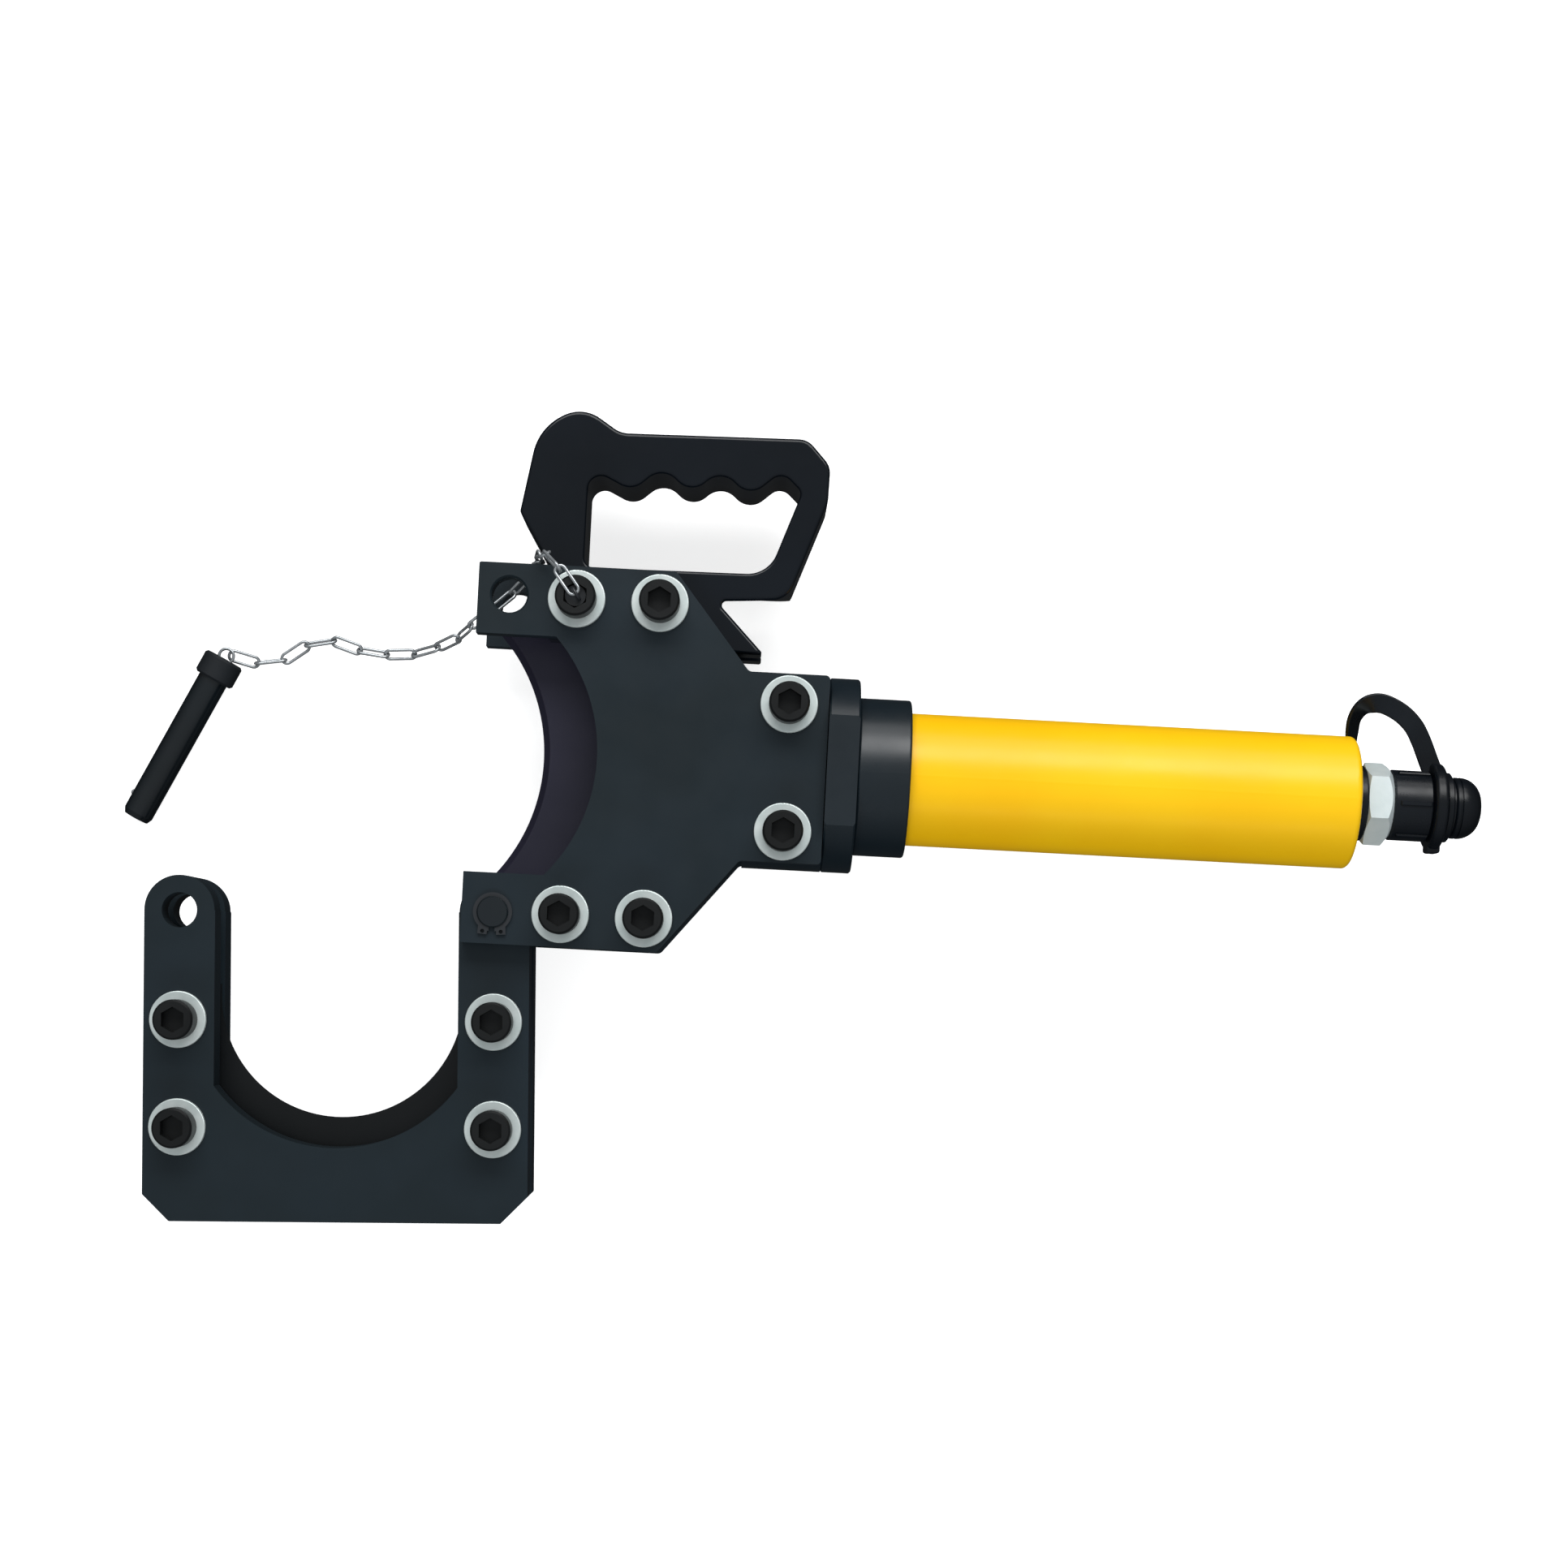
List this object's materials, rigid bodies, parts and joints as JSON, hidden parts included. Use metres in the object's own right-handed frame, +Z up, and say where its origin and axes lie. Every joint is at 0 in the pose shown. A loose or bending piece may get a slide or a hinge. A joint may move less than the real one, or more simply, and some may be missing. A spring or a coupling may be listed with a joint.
{
  "type": "hydraulic rescue cutter",
  "caption": "Guillotine rescue cutter: two-plate head with carrying handle, hollow-ground ram blade, swinging yoke, yellow single-acting cylinder, capped hose nipple and a chained lock pin.",
  "frame": {"origin": "on the floor, under the middle of the tool's bounding box as it lies on its far side", "axes": "+X along the cylinder from the cutting mouth to the hose coupling, +Y towards the carrying handle, +Z up, the side with the bolt heads"},
  "size_m": [0.622, 0.3714, 0.0959],
  "materials": {
    "plate_black": "satin",
    "casting_black": "gloss",
    "block_black": "satin",
    "fastener_black": "satin",
    "zinc_white": "satin",
    "pin_black": "satin",
    "spring_black": "satin",
    "tube_yellow": "gloss",
    "bronze": "satin",
    "seal_rubber": "matte",
    "zinc_bright": "bright",
    "spring_steel": "satin",
    "ground_steel": "ground",
    "blade_steel": "blued",
    "fixed_blade_steel": "blued",
    "cap_black": "satin",
    "pin_cap_black": "matte",
    "stainless": "bright"
  },
  "bodies": {
    "head": {"head_plate_near": "plate_black", "head_plate_far": "plate_black", "carry_handle": "casting_black", "lower_spacer": "plate_black", "head_bolts": "fastener_black", "head_washers_near": "zinc_white", "head_washers_far": "zinc_white", "head_nuts": "fastener_black", "pivot_pin": "pin_black", "pivot_circlips": "spring_black", "cylinder_head": "block_black", "cylinder_collar": "block_black", "cylinder_tube": "tube_yellow", "rod_bush": "bronze", "rod_seal": "seal_rubber", "rod_wiper": "seal_rubber", "tube_seal": "seal_rubber", "hose_nipple": "zinc_bright", "nipple_seal": "zinc_bright", "poppet_spring": "spring_steel", "return_spring": "spring_steel", "cap_strap": "cap_black", "strap_neck_ring": "cap_black", "lock_pin": "pin_black", "pin_cap": "pin_cap_black", "pin_eye": "stainless", "detent_spring": "spring_steel", "chain_floor_links": "stainless", "chain_clevis_links": "stainless", "chain_top_links": "stainless", "chain_anchor": "spring_black"},
    "ram": {"ram": "ground_steel", "piston": "ground_steel", "piston_seal": "seal_rubber", "piston_wear_ring": "bronze", "piston_nut": "zinc_bright", "blade_carriage": "plate_black", "blade_clamp": "plate_black", "blade_screws": "fastener_black", "moving_blade": "blade_steel"},
    "yoke": {"yoke_plate_near": "plate_black", "yoke_plate_far": "plate_black", "yoke_spacer": "plate_black", "fixed_blade": "fixed_blade_steel", "pivot_bush": "bronze", "yoke_bolts": "fastener_black", "yoke_washers": "zinc_white"},
    "cap": {"dust_cap": "cap_black", "strap_eye_ring": "cap_black"},
    "poppet": {"nipple_poppet": "zinc_bright"},
    "detent": {"detent_ball": "stainless"}
  },
  "joints": [
    {"name": "ram_slide", "type": "slide", "parent": "head", "child": "ram", "axis": [-1, 0, 0], "range_m": [0, 0.113], "stiffness_N_per_m": 1200, "springref_m": -0.06, "deforming": ["return_spring"]},
    {"name": "yoke_pivot", "type": "hinge", "parent": "head", "child": "yoke", "pos_m": [-0.13085, -0.04026, 0.0462], "axis": [0, 0, 1], "range_deg": [-92.5, 20], "deforming": ["chain_clevis_links"]},
    {"name": "cap_pull", "type": "slide", "parent": "head", "child": "cap", "axis": [1, 0, 0], "range_m": [0, 0.03], "deforming": ["cap_strap"]},
    {"name": "poppet_press", "type": "slide", "parent": "head", "child": "poppet", "axis": [-1, 0, 0], "range_m": [0, 0.004], "stiffness_N_per_m": 600, "springref_m": -0.005, "deforming": ["poppet_spring"]},
    {"name": "detent_press", "type": "slide", "parent": "head", "child": "detent", "axis": [0.8937, -0.4486, 0], "range_m": [0, 0.0009], "stiffness_N_per_m": 800, "springref_m": -0.001, "deforming": ["detent_spring"]}
  ]
}
